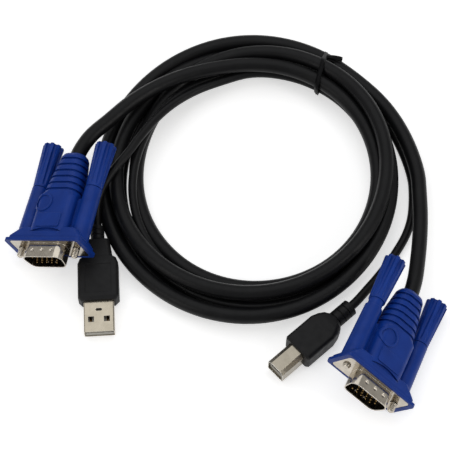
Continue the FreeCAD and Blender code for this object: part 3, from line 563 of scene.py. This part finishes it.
def tie_frame():
    """Matrix at the middle line of the bundle: x outwards, y along it, z up."""
    angle = math.radians(TIE_ANGLE)
    middle = middle_radius(angle)
    place = (COIL_CENTRE[0] + middle * math.cos(angle), COIL_CENTRE[1] + middle * math.sin(angle), 0)
    return Matrix.Translation(place) @ Matrix.Rotation(angle, 4, "Z")


def ribbon(work, middles, ways, faces, closed):
    """Flat coated ribbon with a wire along its middle, its width along ways and its face out to faces."""
    rings = []
    for middle, way, face in zip(middles, ways, faces):
        places = [middle + way * (a * TIE_WIDTH) + face * (b * TIE_THICKNESS) for a, b in TIE_PROFILE]
        rings.append([work.verts.new(place) for place in places])
    join_rings(work, rings, closed)


def tie_loop(work):
    """Loop round the strands, kept off the floor."""
    strands = bundle_section(TIE_ANGLE)
    way = Vector((TIE_SKEW, 1, 0)).normalized()
    middles = []
    faces = []
    for i in range(TIE_LOOP_POINTS):
        turn = 2 * math.pi * i / TIE_LOOP_POINTS
        face = Vector((math.cos(turn), 0, math.sin(turn)))
        out, up, radius = max(strands, key=lambda s: s[0] * face.x + s[1] * face.z + s[2])
        stand = radius + TIE_THICKNESS / 2 - TIE_SHIFT * face.x
        middle = Vector((out, 0, up)) + face * stand
        middle.z = max(middle.z, TIE_THICKNESS)
        middle.y = TIE_SKEW * middle.x
        middles.append(middle)
        faces.append(face)
    ribbon(work, middles, [way] * TIE_LOOP_POINTS, faces, closed=True)


def tie_end(work, start, bend, tip):
    """One flat end, on a curve from its start towards the bend and on to its tip."""
    middles = []
    ways = []
    faces = []
    for i in range(TIE_END_RINGS):
        share = i / (TIE_END_RINGS - 1)
        one = Vector(start).lerp(Vector(bend), share)
        two = Vector(bend).lerp(Vector(tip), share)
        run = (two - one).normalized()
        lean = math.radians(TIE_END_LEAN + TIE_END_TWIST * share)
        face = Vector((math.cos(lean), 0, math.sin(lean)))
        face = (face - run * face.dot(run)).normalized()
        middles.append(one.lerp(two, share) * MM)
        ways.append(run.cross(face))
        faces.append(face)
    ribbon(work, middles, ways, faces, closed=False)


def tie(work):
    """The loop and its two ends."""
    tie_loop(work)
    for start, bend, tip in TIE_ENDS:
        tie_end(work, start, bend, tip)


twist_tie = mesh_piece("twist_tie_ribbon", tie, tie_black, "cable", tie_frame())
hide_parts("twist_tie")


# Floor and light

def shown(tree):
    """1 for the rays by which a backdrop is seen, straight or in a glossy surface, and 0 for the rest."""
    rays = add(tree, "LightPath")
    seen = rays.outputs["Is Camera Ray"]
    for kind in ("Is Glossy Ray", "Is Transmission Ray"):
        either = add(tree, "Math", operation="MAXIMUM")
        tree.links.new(seen, either.inputs[0])
        tree.links.new(rays.outputs[kind], either.inputs[1])
        seen = either.outputs["Value"]
    return seen


floor_data = bpy.data.meshes.new("floor")
corners = [(x * FLOOR_HALF, y * FLOOR_HALF, -FLOOR_DROP) for x, y in ((-1, -1), (1, -1), (1, 1), (-1, 1))]
floor_data.from_pydata(corners, [], [(0, 1, 2, 3)])
floor = bpy.data.objects.new("floor", floor_data)
scene.collection.objects.link(floor)
floor_white, tree, shader = surface("floor_white")
shader.inputs["Base Color"].default_value = FLOOR_COLOUR
shader.inputs["Roughness"].default_value = FLOOR_ROUGHNESS
shader.inputs["Specular IOR Level"].default_value = 0.0
shader.inputs["Emission Color"].default_value = WHITE
tree.links.new(spread(tree, shown(tree), 0, FLOOR_GLOW, (0, 1)), shader.inputs["Emission Strength"])
floor_data.materials.append(floor_white)


def softbox(name, place, target, size, power, colour):
    """Rectangular area light turned to a point."""
    data = bpy.data.lights.new(name, "AREA")
    data.shape = "RECTANGLE"
    data.size, data.size_y = size
    data.energy = power
    data.color = colour
    light = bpy.data.objects.new(name, data)
    light.location = place
    light.rotation_euler = (Vector(target) - Vector(place)).to_track_quat("-Z", "Y").to_euler()
    scene.collection.objects.link(light)


softbox("overhead", place=(-0.15, 0.50, 1.35), target=(0, 0.05, 0), size=(1.85, 1.85), power=9.4,
        colour=(0.98, 0.99, 1.0))
softbox("front_left", place=(-0.75, -0.55, 0.55), target=(0, 0, 0), size=(0.25, 0.7), power=1.8,
        colour=(1.0, 0.98, 0.95))
softbox("front_right", place=(0.85, -0.35, 0.50), target=(0, 0, 0), size=(0.25, 0.7), power=2.4,
        colour=(1.0, 0.98, 0.95))

world = bpy.data.worlds.new("studio")
world.use_nodes = True
tree = world.node_tree
backdrop = tree.nodes["Background"]
backdrop.inputs["Color"].default_value = WHITE
tree.links.new(spread(tree, shown(tree), WORLD_LIGHT, WORLD_SHOWN, (0, 1)), backdrop.inputs["Strength"])
scene.world = world
scene.view_settings.view_transform = "Standard"
